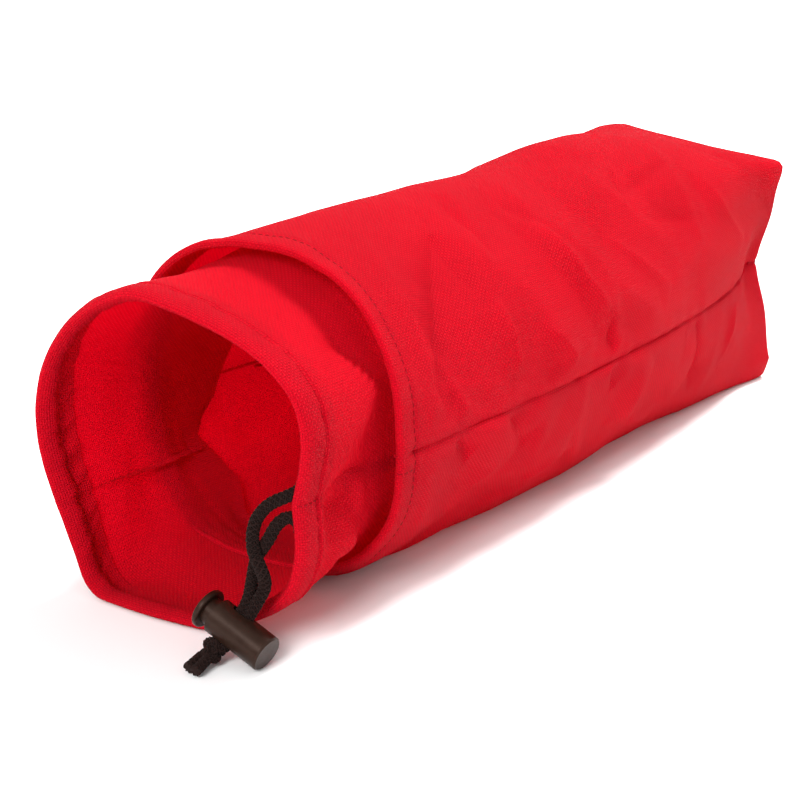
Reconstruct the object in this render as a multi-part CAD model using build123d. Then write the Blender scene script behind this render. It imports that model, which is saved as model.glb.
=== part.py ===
"""Red drawstring sack lying on its side, mouth towards -Y, closed end towards +Y.

Frame: millimetres, +Z up, Z = 0 is the surface the sack lies on. The origin is under the
middle of the sack without its cord. Distances "behind the rim" run along +Y from the plane
of the mouth. The cloth is drawn thicker than life, so that every wall is a solid.
"""
from build123d import *
import math
import os

# ---- driving dimensions -------------------------------------------------------------
LENGTH = 400.0              # from the rim of the mouth to the closed end
HALF = LENGTH / 2
SEAM_Z = 59.5               # height of both side seams
CLOTH = 1.25                # one layer of cloth
ALLOWANCE = 7.0             # width of a sewn seam's turned-in edge
SEAM_THICK = 2.0            # the two edges of a seam pressed together
THREAD = 0.5                # a line of stitches stands this far off the cloth
SKIN_GAP = 0.02             # between stitches and the cloth under them
FLOOR_SAG = 2.0             # the shell's underside is flattened by this much

# shell sections: distance behind the rim, half width, underside, top, corner radius
COLLAR_START = 50.0
COLLAR_END = 62.0
COLLAR = (61.5, 0.8, 122.4, 58.0)
SHELL_SECTIONS = [
    (COLLAR_END, 61.5, -0.8, 122.4, 58.0),
    (110.0, 60.5, -FLOOR_SAG, 122.0, 57.0),
    (200.0, 58.0, -FLOOR_SAG, 125.0, 55.0),
    (280.0, 53.5, -FLOOR_SAG, 131.0, 50.0),
    (350.0, 48.0, -FLOOR_SAG, 124.0, 30.0),
    (LENGTH, 44.0, -FLOOR_SAG, 110.0, 6.0),
]
END_HALF_WIDTH = SHELL_SECTIONS[-1][1]
END_TOP = SHELL_SECTIONS[-1][3]
COLLAR_HEM = 2.4            # the collar's edge is folded double
COLLAR_STITCH = 59.0
SIDE_SEAM_START = 105.0     # clear of the tucked sleeve

# sleeve: the inner tube that stands out of the collar, with a hollow hem round its rim
RIM_R = 58.8
RIM_Z = 59.5
HEM_DEPTH = 12.0
HEM_THICK = 6.3             # radial, with the drawcord inside
HEM_WALL = 1.1
HEM_ROUND = 2.4
HEM_STITCH = 9.0
SLEEVE_R = 57.7
SLEEVE_Z = 61.2
SLEEVE_START = 11.4         # inside the hem's back wall
SLEEVE_END = 66.0
SLEEVE_CLOTH = 1.2
SLOT_X = (46.0, 55.0)       # the cord's exit, in the hem's inner wall
SLOT_S = (0.8, 10.4)
SLOT_Z = (40.5, 61.5)

# drawcord
CORD_D = 3.6
CORD_RING_R = RIM_R - HEM_THICK / 2
CORD_RING_S = 6.0
RING_END_UPPER = 4.0        # degrees above the horizontal, on the right of the mouth
RING_END_LOWER = 340.8
KNOT_CENTRE = (33.6, -17.4, 4.1)
KNOT_R = 3.9
TAIL_STARTS = [(34.4, -19.0, 3.4), (30.7, -18.6, 3.2)]
TAIL_ENDS = [(35.8, -28.4, 1.9), (31.9, -27.4, 1.9)]

# cord lock: a barrel with a closed end, and a plunger with a round head
BARREL_D = 12.4
BARREL_LENGTH = 22.0
BARREL_CHAMFER = 0.6
BORE_D = 9.8
BORE_DEPTH = 20.2
PLUNGER_D = 9.4
PLUNGER_LENGTH = 16.6       # from the back of the head to the inner end
FLANGE_D = 13.8
FLANGE_THICK = 2.0
FLANGE_ROUND = 0.7
NECK = 3.3                  # plunger showing between the head and the barrel
PRESS = 2.8                 # plunger travel
SPRING_WIRE = 0.6
SPRING_COILS = 4
SPRING_R = 3.6
SPRING_GAP = 0.1
HOLE_FROM_MOUTH = 7.6       # centre of the cords' hole
HOLE_WIDE = 5.0             # across the barrel
HOLE_LONG = 8.8             # along the barrel
STRAND_SPACING = 3.8
LOCK_TILT = 22.5            # the closed end lies on the floor, the head leans up
CORD_LEAN = 26.0            # the cords' way through the lock leans back over the mouth's lip
LOCK_CAP_X = 51.6
LOCK_CAP_S = -11.3

TILT = math.radians(LOCK_TILT)
LEAN = math.radians(CORD_LEAN)
AXIS = Vector(math.cos(TILT), 0, -math.sin(TILT))
ACROSS = Vector(math.sin(TILT) * math.cos(LEAN), math.sin(LEAN), math.cos(TILT) * math.cos(LEAN))
FAR = 500.0                 # larger than the whole sack


# ---- helpers ------------------------------------------------------------------------
def at(x, s, z):
    """A point s behind the rim plane."""
    return Vector(x, s - HALF, z)


def cross_plane(s, z):
    """The plane across the sack, s behind the rim, centred at height z."""
    return Plane(origin=at(0, s, z), x_dir=(1, 0, 0), z_dir=(0, 1, 0))


def section(s, half_width, low, high, radius, inset=0.0):
    """A rounded rectangle across the sack."""
    height = high - low - 2 * inset
    corner = max(radius - inset, 1.0)
    return cross_plane(s, (low + high) / 2) * RectangleRounded(2 * (half_width - inset), height, corner)


def along_y(face, depth):
    return extrude(face, amount=depth, dir=(0, 1, 0))


def slab(x, s, z):
    """A box between the given pairs of limits."""
    centre = at(sum(x) / 2, sum(s) / 2, sum(z) / 2)
    return Pos(*centre) * Box(x[1] - x[0], s[1] - s[0], z[1] - z[0])


def above(shape, height):
    return shape & slab((-FAR, FAR), (-FAR, FAR), (height, FAR))


def below(shape, height):
    return shape & slab((-FAR, FAR), (-FAR, FAR), (-FAR, height))


# ---- shell --------------------------------------------------------------------------
def shell_cavity(inset):
    """The space inside the shell behind the collar."""
    faces = []
    for s, half_width, low, high, radius in SHELL_SECTIONS:
        faces.append(section(min(s, LENGTH - inset), half_width, low, high, radius, inset))
    return above(loft(faces), inset)


def make_shell():
    """The outer cloth: a folded collar, then a tube that turns from round to square."""
    body = above(loft([section(*values) for values in SHELL_SECTIONS]), 0)
    depth = COLLAR_END - COLLAR_START
    collar = along_y(section(COLLAR_START, *COLLAR), depth)
    mouth = along_y(section(COLLAR_START - 1, *COLLAR, inset=COLLAR_HEM), depth + 2)
    return (body + collar) - shell_cavity(CLOTH) - mouth


def shell_seams():
    """The turned-in edges of the shell's seams, on the inside."""
    cavity = shell_cavity(CLOTH)
    edges = cavity - shell_cavity(CLOTH + ALLOWANCE)
    z = (SEAM_Z - SEAM_THICK / 2, SEAM_Z + SEAM_THICK / 2)
    back = LENGTH - CLOTH
    side = (SIDE_SEAM_START, back - ALLOWANCE)
    reach = END_HALF_WIDTH - CLOTH - ALLOWANCE
    corner_z = (ALLOWANCE, END_TOP - ALLOWANCE)
    corner_s = (back - SEAM_THICK, back)
    return {
        "side_seam_left": edges & slab((-FAR, 0), side, z),
        "side_seam_right": edges & slab((0, FAR), side, z),
        "end_seam": slab((1 - reach, reach - 1), (back - ALLOWANCE, back), z),
        "corner_seam_left": cavity & slab((-FAR, -reach), corner_s, corner_z),
        "corner_seam_right": cavity & slab((reach, FAR), corner_s, corner_z),
    }


def collar_stitches():
    outer = section(COLLAR_STITCH, *COLLAR, inset=-THREAD)
    inner = section(COLLAR_STITCH, *COLLAR, inset=-SKIN_GAP)
    return along_y(outer - inner, THREAD)


def hem_tacks(half_width, s_range):
    """Short lines of stitches across a hem, one at each side seam."""
    z = (SEAM_Z - THREAD / 2, SEAM_Z + THREAD / 2)
    right = slab((half_width + SKIN_GAP, half_width + THREAD), s_range, z)
    left = slab((-half_width - THREAD, -half_width - SKIN_GAP), s_range, z)
    return Compound(children=[left, right])


# ---- sleeve -------------------------------------------------------------------------
def ring(s, centre_z, outer_r, inner_r, depth):
    """A round tube along the sack."""
    plane = cross_plane(s, centre_z)
    return along_y(plane * Circle(outer_r) - plane * Circle(inner_r), depth)


def hem_revolve(thick, depth, corner):
    profile = Pos(CORD_RING_R, HEM_DEPTH / 2) * RectangleRounded(thick, depth, corner)
    return Pos(*at(0, 0, RIM_Z)) * revolve(profile, axis=Axis.Y)


def make_sleeve():
    """The tube and its hollow hem, which holds the drawcord and opens on the right."""
    hem = hem_revolve(HEM_THICK, HEM_DEPTH, HEM_ROUND)
    channel = hem_revolve(HEM_THICK - 2 * HEM_WALL, HEM_DEPTH - 2 * HEM_WALL, HEM_ROUND - HEM_WALL)
    inner_r = SLEEVE_R - SLEEVE_CLOTH
    tube = ring(SLEEVE_START, SLEEVE_Z, SLEEVE_R, inner_r, SLEEVE_END - SLEEVE_START)
    return (hem + tube) - channel - slab(SLOT_X, SLOT_S, SLOT_Z)


def sleeve_seams():
    """The sleeve's two side seams, turned in on the inside of the tube."""
    inner_r = SLEEVE_R - SLEEVE_CLOTH
    start = HEM_DEPTH + 1
    strip = ring(start, SLEEVE_Z, inner_r, inner_r - ALLOWANCE, SLEEVE_END - start)
    z = (SEAM_Z - SEAM_THICK / 2, SEAM_Z + SEAM_THICK / 2)
    return {
        "sleeve_seam_left": strip & slab((-FAR, 0), (0, LENGTH), z),
        "sleeve_seam_right": strip & slab((0, FAR), (0, LENGTH), z),
    }


def hem_stitches():
    return ring(HEM_STITCH, RIM_Z, RIM_R + THREAD, RIM_R + SKIN_GAP, THREAD)


# ---- drawcord -----------------------------------------------------------------------
def ring_point(degrees):
    """A point on the cord's ring inside the hem."""
    angle = math.radians(degrees)
    return at(CORD_RING_R * math.cos(angle), CORD_RING_S, RIM_Z + CORD_RING_R * math.sin(angle))


def ring_tangent(degrees):
    angle = math.radians(degrees)
    return Vector(-math.sin(angle), 0, math.cos(angle))


def cord_section(path):
    return Plane(origin=path @ 0, z_dir=path % 0) * Circle(CORD_D / 2)


def cord_in_hem():
    """The part of the cord inside the hem, from one side of the exit round to the other."""
    middle = (RING_END_UPPER + RING_END_LOWER) / 2
    path = ThreePointArc(ring_point(RING_END_UPPER), ring_point(middle), ring_point(RING_END_LOWER))
    return sweep(cord_section(path), path=path)


def arc_radii(points):
    """The largest arc that the two runs at each corner leave room for."""
    radii = []
    for before, corner, after in zip(points, points[1:], points[2:]):
        run_in = corner - before
        run_out = after - corner
        half_turn = math.radians(run_in.get_angle(run_out)) / 2
        radii.append(0.45 * min(run_in.length, run_out.length) / math.tan(half_turn))
    return radii


def cord_tube(name, points):
    radii = arc_radii(points)
    path = FilletPolyline(*points, radius=radii)
    tube = sweep(cord_section(path), path=path)
    full = math.pi * (CORD_D / 2) ** 2 * path.length
    print(name, "arc radii", [round(radius, 1) for radius in radii])
    print(name, "length", round(path.length, 1), "volume ratio", round(tube.volume / full, 3))
    return tube


def hole_point(side, distance):
    """A point on a strand's straight way through the lock; side is -1 or +1."""
    mouth = lock_frame().origin
    centre = mouth + AXIS * HOLE_FROM_MOUTH
    return centre + AXIS * (side * STRAND_SPACING / 2) + ACROSS * distance


def strand_upper():
    """From the ring's upper end out of the hem, down through the lock and into the knot."""
    start = ring_point(RING_END_UPPER)
    return cord_tube("strand_upper", [
        start,
        start - ring_tangent(RING_END_UPPER) * 7.0,
        at(50.6, 2.3, 55.0),
        at(45.0, -3.0, 50.2),
        at(41.7, -5.2, 39.0),
        hole_point(-1, 16.5),
        hole_point(-1, -7.0),
    ])


def strand_lower():
    """From the ring's lower end up to the exit, over it, and down beside the other strand."""
    start = ring_point(RING_END_LOWER)
    return cord_tube("strand_lower", [
        start,
        start + ring_tangent(RING_END_LOWER) * 5.6,
        at(51.2, 2.9, 50.3),
        at(47.1, -2.2, 44.8),
        at(46.2, -4.4, 35.5),
        hole_point(1, 16.5),
        hole_point(1, -7.0),
    ])


def make_knot():
    """The overhand knot that both strands are tied in, as a rounded lump."""
    return Pos(*at(*KNOT_CENTRE)) * Sphere(KNOT_R)


def make_tails(knot):
    tails = []
    for start, end in zip(TAIL_STARTS, TAIL_ENDS):
        path = Line(at(*start), at(*end))
        tails.append(sweep(cord_section(path), path=path) - knot)
    return tails


# ---- cord lock ----------------------------------------------------------------------
def lock_frame():
    """The barrel's own plane: origin at its mouth, z along the barrel to its closed end."""
    cap_z = BARREL_D / 2 * math.cos(TILT)
    mouth = at(LOCK_CAP_X, LOCK_CAP_S, cap_z) - AXIS * BARREL_LENGTH
    return Plane(origin=mouth, x_dir=(0, 1, 0), z_dir=AXIS)


def rod(radius, start, end):
    """A cylinder along the lock's axis, measured from the barrel's mouth."""
    base = (Align.CENTER, Align.CENTER, Align.MIN)
    return Pos(0, 0, start) * Cylinder(radius, end - start, align=base)


def cord_hole(long, shift):
    """The rounded slot that both strands pass through."""
    centre = lock_frame().origin + AXIS * (HOLE_FROM_MOUTH + shift)
    plane = Plane(origin=centre, x_dir=AXIS, z_dir=ACROSS)
    return extrude(plane * SlotOverall(long, HOLE_WIDE), amount=BARREL_D, both=True)


def make_barrel():
    body = rod(BARREL_D / 2, 0, BARREL_LENGTH)
    body = chamfer(body.edges().group_by(Axis.Z)[-1], BARREL_CHAMFER)
    bore = rod(BORE_D / 2, -1, BORE_DEPTH)
    return lock_frame() * (body - bore) - cord_hole(HOLE_LONG, 0)


def make_plunger():
    stem = rod(PLUNGER_D / 2, -NECK, PLUNGER_LENGTH - NECK)
    head = rod(FLANGE_D / 2, -NECK - FLANGE_THICK, -NECK)
    head = fillet(head.edges().filter_by(GeomType.CIRCLE), FLANGE_ROUND)
    return lock_frame() * (stem + head) - cord_hole(HOLE_LONG + PRESS, -PRESS / 2)


def make_spring():
    """The coil between the plunger's inner end and the barrel's closed end."""
    start = PLUNGER_LENGTH - NECK + SPRING_GAP + SPRING_WIRE / 2
    height = BORE_DEPTH - SPRING_GAP - SPRING_WIRE / 2 - start
    coil = Helix(pitch=height / SPRING_COILS, height=height, radius=SPRING_R)
    wire = Plane(origin=coil @ 0, z_dir=coil % 0) * Circle(SPRING_WIRE / 2)
    return lock_frame() * Pos(0, 0, start) * sweep(wire, path=coil, is_frenet=True)


# ---- all nodes ----------------------------------------------------------------------
def all_nodes():
    shell = make_shell()
    sleeve = make_sleeve()
    knot = make_knot()
    tail_front, tail_back = make_tails(knot)
    nodes = {
        "upper_panel": above(shell, SEAM_Z),
        "lower_panel": below(shell, SEAM_Z),
        "collar_stitching": collar_stitches(),
        "collar_tacks": hem_tacks(COLLAR[0], (COLLAR_START + 0.5, COLLAR_STITCH - 0.5)),
        "sleeve_upper": above(sleeve, SEAM_Z),
        "sleeve_lower": below(sleeve, SEAM_Z),
        "hem_stitching": hem_stitches(),
        "hem_tacks": hem_tacks(RIM_R, (HEM_ROUND, HEM_STITCH - 0.5)),
        "drawcord": cord_in_hem(),
        "strand_upper": strand_upper() - knot,
        "strand_lower": strand_lower() - knot,
        "cord_knot": knot,
        "tail_front": tail_front,
        "tail_back": tail_back,
        "lock_barrel": make_barrel(),
        "lock_plunger": make_plunger(),
        "lock_spring": make_spring(),
    }
    nodes.update(shell_seams())
    nodes.update(sleeve_seams())
    return nodes


if __name__ == "__main__":
    os.makedirs("parts", exist_ok=True)
    for node, shape in all_nodes().items():
        export_step(shape, f"parts/{node}.step")
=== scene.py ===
"""Looks of a red drawstring sack lying on its side: cloth, seams, stitches, cords and cord lock.

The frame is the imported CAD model, in metres. Lengths below are in millimetres, and s is the
distance behind the rim of the mouth, so a point (x, s, z) is at y = s - 200 in the frame.
"""
import math
import random

import bpy
import numpy as np
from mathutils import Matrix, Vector
from mathutils.geometry import delaunay_2d_cdt


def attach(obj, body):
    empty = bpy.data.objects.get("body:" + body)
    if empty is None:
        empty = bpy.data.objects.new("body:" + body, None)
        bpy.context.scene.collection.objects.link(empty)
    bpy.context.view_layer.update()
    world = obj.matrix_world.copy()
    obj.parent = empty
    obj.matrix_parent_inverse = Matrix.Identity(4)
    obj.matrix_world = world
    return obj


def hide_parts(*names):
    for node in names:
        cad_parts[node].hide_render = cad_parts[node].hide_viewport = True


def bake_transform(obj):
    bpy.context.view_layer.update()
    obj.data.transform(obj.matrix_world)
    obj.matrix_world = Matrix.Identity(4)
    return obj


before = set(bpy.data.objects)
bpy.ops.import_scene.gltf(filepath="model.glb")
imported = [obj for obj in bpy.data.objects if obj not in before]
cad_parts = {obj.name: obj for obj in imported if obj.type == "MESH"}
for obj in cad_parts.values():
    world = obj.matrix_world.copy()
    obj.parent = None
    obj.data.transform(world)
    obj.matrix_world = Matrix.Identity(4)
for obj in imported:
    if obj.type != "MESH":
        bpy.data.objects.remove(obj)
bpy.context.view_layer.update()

MM = 0.001
HALF = 200.0
LENGTH = 400.0
CLOTH = 0.45                # real thickness of the woven cloth
GIRTH = 394.5               # the shell's cloth all the way round, the same at both ends


# ---- small helpers ------------------------------------------------------------------
def to_world(points):
    """(..., 3) array of x, s, z in millimetres to metres in the frame."""
    world = np.array(points, float)
    world[..., 1] -= HALF
    return world * MM


def spline(stations, values, s):
    """A smooth curve through values at the stations, with gentle tangents."""
    xs, ys = np.array(stations, float), np.array(values, float)
    s = np.clip(np.asarray(s, float), xs[0], xs[-1])
    slope = np.diff(ys, axis=0) / np.diff(xs).reshape(-1, *[1] * (ys.ndim - 1))
    tangent = np.empty_like(ys)
    tangent[0], tangent[-1] = slope[0], slope[-1]
    tangent[1:-1] = (slope[:-1] + slope[1:]) / 2
    i = np.clip(np.searchsorted(xs, s, side="right") - 1, 0, len(xs) - 2)
    step = xs[i + 1] - xs[i]
    f = (s - xs[i]) / step
    shape = f.shape + (1,) * (ys.ndim - 1)
    f, step = f.reshape(shape), step.reshape(shape)
    return ((2 * f**3 - 3 * f**2 + 1) * ys[i] + (f**3 - 2 * f**2 + f) * step * tangent[i]
            + (3 * f**2 - 2 * f**3) * ys[i + 1] + (f**3 - f**2) * step * tangent[i + 1])


def smooth(x, low, high):
    """0 below low and 1 above high, with an even slope-free step between them."""
    f = np.clip((x - low) / (high - low), 0, 1)
    return f * f * (3 - 2 * f)


def bell(x, middle, reach):
    """1 at the middle, fading to nothing on both sides."""
    return np.exp(-(((x - middle) / reach) ** 2))


def unit(vectors, least=0.0):
    """Vectors of length one along the last axis."""
    return vectors / np.maximum(np.linalg.norm(vectors, axis=-1, keepdims=True), least)


def wobble(x, step, seed):
    """Smooth random values between -1 and 1 along x, with a new value every step."""
    draw = np.random.RandomState(seed).uniform(-1, 1, 512)
    f = np.asarray(x, float) / step + 200
    i = np.floor(f).astype(int)
    f = f - i
    f = f * f * (3 - 2 * f)
    return draw[i % 512] * (1 - f) + draw[(i + 1) % 512] * f


def blur(field, rounds):
    """Rounds off a height field's creases, leaving its size alone."""
    for _ in range(rounds):
        padded = np.pad(field, 1, mode="edge")
        field = (padded[1:-1, 1:-1] * 2 + padded[:-2, 1:-1] + padded[2:, 1:-1]
                 + padded[1:-1, :-2] + padded[1:-1, 2:]) / 6
    return field


def facets(points, s, t):
    """Heights of a creased sheet: flat facets between the points (s, t, height)."""
    verts, _, faces, originals, _, _ = delaunay_2d_cdt([Vector(p[:2]) for p in points], [], [], 0, 1e-5)
    height = np.array([points[o[0]][2] for o in originals])
    corners = np.array([list(v) for v in verts])
    field = np.zeros(s.shape)
    for face in faces:
        a, b, c = corners[list(face)]
        area = (b[0] - a[0]) * (c[1] - a[1]) - (b[1] - a[1]) * (c[0] - a[0])
        if abs(area) < 1e-9:
            continue
        v = ((s - a[0]) * (c[1] - a[1]) - (t - a[1]) * (c[0] - a[0])) / area
        w = ((b[0] - a[0]) * (t - a[1]) - (b[1] - a[1]) * (s - a[0])) / area
        inside = (v >= -1e-6) & (w >= -1e-6) & (v + w <= 1 + 1e-6)
        value = height[face[0]] * (1 - v - w) + height[face[1]] * v + height[face[2]] * w
        field[inside] = value[inside]
    return field


def grid_normals(grid):
    """Outward directions at the points of a grid."""
    return unit(np.cross(np.gradient(grid, axis=0), np.gradient(grid, axis=1)), 1e-9)


def arc_length(line):
    """How far along a line each of its points is."""
    return np.concatenate([[0], np.cumsum(np.linalg.norm(np.diff(line, axis=0), axis=1))])


def read_line(at, run, line):
    """Points of a line at given lengths along it."""
    return np.stack([np.interp(at, run, column) for column in line.T], axis=-1)


# ---- mesh making --------------------------------------------------------------------
def make_object(name, verts, faces, uv=None, material=None):
    """A smooth-shaded object. uv holds one pair, in metres, for each vertex."""
    mesh = bpy.data.meshes.new(name)
    mesh.from_pydata([tuple(v) for v in verts], [], [tuple(f) for f in faces])
    mesh.validate()
    if uv is not None:
        loops = np.empty(len(mesh.loops), int)
        mesh.loops.foreach_get("vertex_index", loops)
        layer = mesh.uv_layers.new(name="weave")
        layer.data.foreach_set("uv", np.asarray(uv, float)[loops].ravel())
    mesh.polygons.foreach_set("use_smooth", [True] * len(mesh.polygons))
    mesh.set_sharp_from_angle(angle=math.radians(58))
    mesh.update()
    thing = bpy.data.objects.new(name, mesh)
    bpy.context.scene.collection.objects.link(thing)
    if material:
        mesh.materials.append(material)
    return thing


def cloth_solid(name, grid, uv, thickness=CLOTH, keep=None):
    """A thin closed piece of red cloth from a grid of points on its outer face."""
    rows, cols = grid.shape[:2]
    inner = grid - grid_normals(grid) * thickness
    verts = to_world(np.concatenate([grid.reshape(-1, 3), inner.reshape(-1, 3)]))
    under = rows * cols
    kept = np.pad(np.ones((rows - 1, cols - 1), bool) if keep is None else keep, 1)
    faces = []
    for i in range(rows - 1):
        for j in range(cols - 1):
            if not kept[i + 1, j + 1]:
                continue
            a, b, c, d = (p * cols + q for p, q in ((i, j), (i, j + 1), (i + 1, j + 1), (i + 1, j)))
            faces.append((a, d, c, b))
            faces.append((a + under, b + under, c + under, d + under))
            for beside, p, q in ((kept[i, j + 1], a, b), (kept[i + 2, j + 1], c, d),
                                 (kept[i + 1, j], d, a), (kept[i + 1, j + 2], b, c)):
                if not beside:
                    faces.append((p, q, q + under, p + under))
    return make_object(name, verts, faces, np.concatenate([uv.reshape(-1, 2)] * 2), RED_CLOTH)


def tube_quads(base, rings, sides):
    """Faces between rings of vertices that follow each other."""
    return [(base + r * sides + m, base + r * sides + (m + 1) % sides,
             base + (r + 1) * sides + (m + 1) % sides, base + (r + 1) * sides + m)
            for r in range(rings - 1) for m in range(sides)]


def tube_caps(base, rings, sides):
    """Flat faces over the first and the last ring."""
    last = base + (rings - 1) * sides
    return [tuple(base + m for m in reversed(range(sides))), tuple(last + m for m in range(sides))]


THREAD_WIDTH = 0.42
STITCH_LIFT = 0.12          # how far a stitch's middle bulges
STITCH_SUNK = 0.34          # how far its ends go into the cloth
STITCH_GAP = 0.55
STITCH_SWAY = 0.07          # how far a stitch may stand askew
STITCH_SIDES = 6
STITCH_RINGS = (0.0, 0.08, 0.3, 0.7, 0.92, 1.0)


def stitch_line(name, path, normals, pitch=3.0, seed=1):
    """Separate thread stitches along a path, each one a short bulging capsule."""
    run = arc_length(path)
    count = max(int(run[-1] / pitch), 1)
    margin = 0.5 * STITCH_GAP / pitch
    rng = random.Random(seed)
    verts, faces = [], []
    for k in range(count):
        start, stop = (k + margin) * run[-1] / count, (k + 1 - margin) * run[-1] / count
        sway = rng.uniform(-STITCH_SWAY, STITCH_SWAY)
        faces += tube_quads(len(verts), len(STITCH_RINGS), STITCH_SIDES)
        faces += tube_caps(len(verts), len(STITCH_RINGS), STITCH_SIDES)
        for share in STITCH_RINGS:
            at = start + (stop - start) * share
            up = unit(read_line(at, run, normals))
            ahead = unit(read_line(at + 0.3, run, path) - read_line(at - 0.3, run, path), 1e-9)
            side = unit(np.cross(ahead, up), 1e-9)
            body = math.sin(math.pi * min(max(share, 0.02), 0.98)) ** 0.45
            rise = STITCH_LIFT * math.sin(math.pi * share) - STITCH_SUNK * (1 - body)
            centre = read_line(at, run, path) + up * rise + side * sway * (share - 0.5) * 2
            for m in range(STITCH_SIDES):
                turn = 2 * math.pi * m / STITCH_SIDES
                around_it = side * math.cos(turn) + up * math.sin(turn)
                verts.append(centre + around_it * THREAD_WIDTH / 2 * max(body, 0.35))
    return make_object(name, to_world(np.array(verts)), faces, None, SHADED_RED_THREAD)


# ---- materials ----------------------------------------------------------------------
class Nodes:
    """A short way to write a material's nodes."""

    def __init__(self, name):
        self.material = bpy.data.materials.new(name)
        self.material.use_nodes = True
        self.tree = self.material.node_tree
        self.tree.nodes.clear()
        self.out = self.tree.nodes.new("ShaderNodeOutputMaterial")

    def add(self, kind, inputs=None, **settings):
        """A node whose inputs are given as values or as other nodes' outputs."""
        node = self.tree.nodes.new(kind)
        for key, value in settings.items():
            setattr(node, key, value)
        for key, value in (inputs or {}).items():
            socket = node.inputs[key]
            if isinstance(value, bpy.types.NodeSocket):
                self.tree.links.new(value, socket)
            else:
                socket.default_value = value
        return node

    def coords(self):
        return self.add("ShaderNodeTexCoord").outputs["Object"]

    def weave(self):
        return self.add("ShaderNodeUVMap", uv_map="weave").outputs[0]

    def math(self, operation, a, b=0.0):
        return self.add("ShaderNodeMath", {0: a, 1: b}, operation=operation).outputs[0]

    def mix(self, share, a, b):
        return self.add("ShaderNodeMix", {0: share, 6: a, 7: b}, data_type="RGBA").outputs[2]

    def noise(self, vector, scale, detail=3.0, rough=0.5):
        return self.add("ShaderNodeTexNoise", {"Vector": vector, "Scale": scale, "Detail": detail,
                                               "Roughness": rough}).outputs[0]

    def wave(self, vector, scale, distortion, detail, direction):
        return self.add("ShaderNodeTexWave", {"Vector": vector, "Scale": scale, "Distortion": distortion,
                                              "Detail": detail}, bands_direction=direction).outputs[1]

    def ramp(self, value, low, high, to_low=0.0, to_high=1.0):
        return self.add("ShaderNodeMapRange",
                        {0: value, 1: low, 2: high, 3: to_low, 4: to_high}).outputs[0]

    def bump(self, strength, distance, height, over=None):
        inputs = {"Strength": strength, "Distance": distance, "Height": height}
        if over is not None:
            inputs["Normal"] = over
        return self.add("ShaderNodeBump", inputs).outputs[0]

    def skin(self, colour, rough, **settings):
        """A principled surface; the settings are its sockets' names, with _ for a space."""
        more = {key.replace("_", " "): value for key, value in settings.items()}
        inputs = {"Base Color": colour, "Roughness": rough, **more}
        return self.add("ShaderNodeBsdfPrincipled", inputs).outputs[0]

    def done(self, shader):
        """The material with its surface joined on."""
        self.tree.links.new(shader, self.out.inputs[0])
        return self.material


YARN = 0.88 * MM            # spacing of the cloth's yarns


def cloth_material(name, colour, deep, through, through_painted_shade, share):
    """Coated plain-weave cloth that lets a share of the light through, with painted shade: its colour and
    the colour of the light through it are darker in the hollows between the yarns.
    """
    n = Nodes(name)
    uv = n.weave()
    stray = n.math("MULTIPLY", n.noise(uv, 900.0, 2.0), 0.00012)
    across = n.add("ShaderNodeSeparateXYZ", {0: uv}).outputs
    a, b = (n.math("SINE", n.math("MULTIPLY", n.math("ADD", across[i], stray), math.pi / YARN))
            for i in (0, 1))
    over = n.math("MULTIPLY", a, b)
    crown = n.math("MAXIMUM", n.math("MULTIPLY", n.math("ABSOLUTE", a), n.ramp(over, -0.3, 0.3)),
                   n.math("MULTIPLY", n.math("ABSOLUTE", b), n.ramp(over, 0.3, -0.3)))
    coords = n.coords()
    blotch = n.noise(coords, 26.0, 4.0, 0.55)
    fine = n.noise(coords, 420.0, 3.0, 0.6)
    height = n.math("ADD", crown, n.math("MULTIPLY", over, 0.55))
    # raised is the share of yarn crown; the colour falls to deep in the hollows between the yarns as
    # painted shade, and the blotches also draw it towards deep at random
    raised = n.ramp(height, -0.35, 1.25)
    base = n.mix(n.math("MULTIPLY", n.ramp(blotch, 0.35, 0.75), 0.30), n.mix(raised, deep, colour), deep)
    normal = n.bump(0.35, 0.0006, blotch, n.bump(1.0, 0.00034, height))
    grain = n.math("ADD", n.math("MULTIPLY", fine, 0.5), n.math("MULTIPLY", crown, 0.4))
    skin = n.skin(base, n.ramp(grain, 0.1, 0.9, 0.62, 0.42), Normal=normal, Specular_IOR_Level=0.05,
                  Sheen_Weight=0.02, Sheen_Roughness=0.4, Sheen_Tint=(1.0, 0.6, 0.55, 1.0))
    # the light through the cloth is darkened in the weave's hollows too: painted shade
    lit = n.mix(raised, through_painted_shade, through)
    glow = n.add("ShaderNodeBsdfTranslucent", {"Color": lit, "Normal": normal})
    return n.done(n.add("ShaderNodeMixShader", {0: share, 1: skin, 2: glow.outputs[0]}).outputs[0])


def thread_material(name, colour, twist_groove_shade):
    """Twisted sewing thread, darker than the cloth as painted shade for the stitch grooves, with painted
    shade in the grooves of its twist.
    """
    n = Nodes(name)
    twist = n.wave(n.coords(), 1400.0, 2.5, 1.0, "DIAGONAL")
    return n.done(n.skin(n.mix(twist, twist_groove_shade, colour), 0.55, Normal=n.bump(0.6, 0.00005, twist),
                         Specular_IOR_Level=0.05))


def cord_material(name, colour, light):
    """Black braided polyester: fine filaments along each carrier, with a painted brown highlight where the
    light catches them.
    """
    n = Nodes(name)
    speck = n.noise(n.coords(), 1500.0, 3.0, 0.6)
    filament_glint = n.math("MULTIPLY", n.math("ADD", n.wave(n.weave(), 900.0, 1.2, 2.0, "X"), speck), 0.5)
    # the filaments are lightened towards the brown colour as a painted highlight
    return n.done(n.skin(n.mix(n.ramp(filament_glint, 0.35, 0.8), colour, light), n.ramp(speck, 0.3, 0.7, 0.5, 0.75),
                         Normal=n.bump(0.7, 0.00006, filament_glint), Specular_IOR_Level=0.07, Sheen_Weight=0.03,
                         Sheen_Roughness=0.5))


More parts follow.
